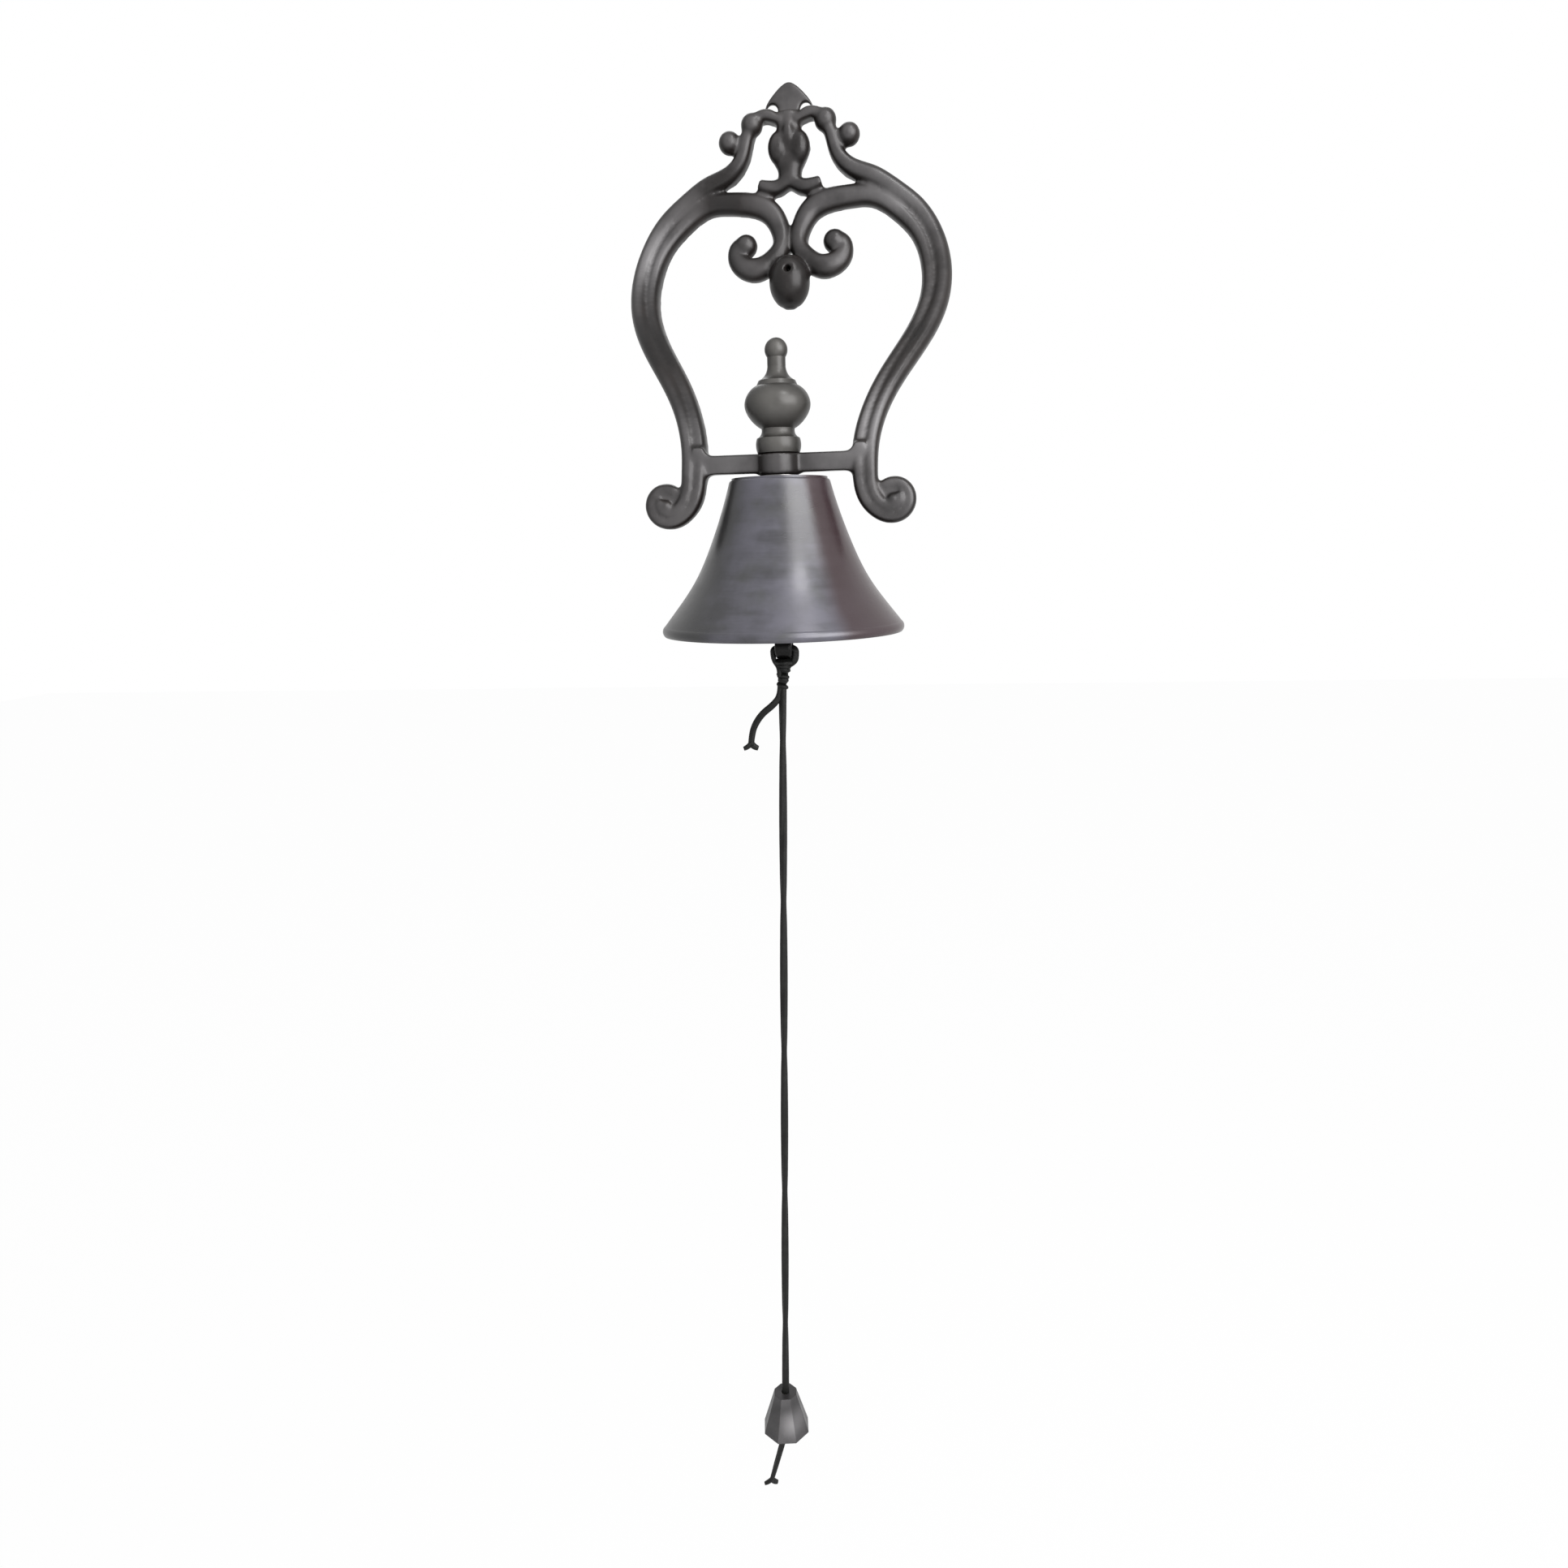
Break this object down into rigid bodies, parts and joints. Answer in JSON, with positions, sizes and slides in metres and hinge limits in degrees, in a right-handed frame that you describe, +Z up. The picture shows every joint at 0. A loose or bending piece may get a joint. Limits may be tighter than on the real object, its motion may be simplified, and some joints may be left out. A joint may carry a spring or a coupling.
{
  "type": "wall bell",
  "caption": "Cast iron wall bell hung from a scrolled lyre bracket, with a clapper swung by a weighted pull cord.",
  "frame": {"origin": "on the wall plane, midway between the two screw holes of the bracket's leaf", "axes": "+Z up, the wall is the plane Y = 0 and the bell stands in front of it at -Y, +X to the right of someone facing the wall"},
  "size_m": [0.181, 0.1521, 0.8537],
  "materials": {
    "bracket_iron": "dark brown-black, softly burnished along the ridges",
    "finial_iron": "dark grey-black, satin",
    "bell_iron": "blue-grey, satin, warmer and browner at the sides",
    "fixings": "darkened steel",
    "clapper_iron": "black",
    "weight_iron": "dark grey, satin, faceted",
    "cord": "black, slightly twisted lace"
  },
  "bodies": {
    "frame": {"bracket": "bracket_iron", "finial": "finial_iron", "spacer_washer": "fixings", "bell": "bell_iron", "crown_washer": "fixings", "crown_nut": "fixings", "eye_bolt": "fixings"},
    "clapper": {"clapper": "clapper_iron"},
    "pull": {"cord_loop": "cord", "top_knot": "cord", "pull_cord": "cord", "cord_tail": "cord", "pull_weight": "weight_iron", "weight_knot": "cord", "end_tail": "cord"}
  },
  "joints": [
    {"name": "clapper_swing", "type": "hinge", "parent": "frame", "child": "clapper", "pos_m": [0, -0.08714, -0.22895], "axis": [1, 0, 0], "range_deg": [-42.5, 42.5]},
    {"name": "cord_hang", "type": "hinge", "parent": "clapper", "child": "pull", "pos_m": [0, -0.08714, -0.29095], "axis": [1, 0, 0], "range_deg": [-42.5, 42.5]}
  ],
  "couplings": [
    {"joint": "cord_hang", "follows": "clapper_swing", "ratio": -1}
  ]
}
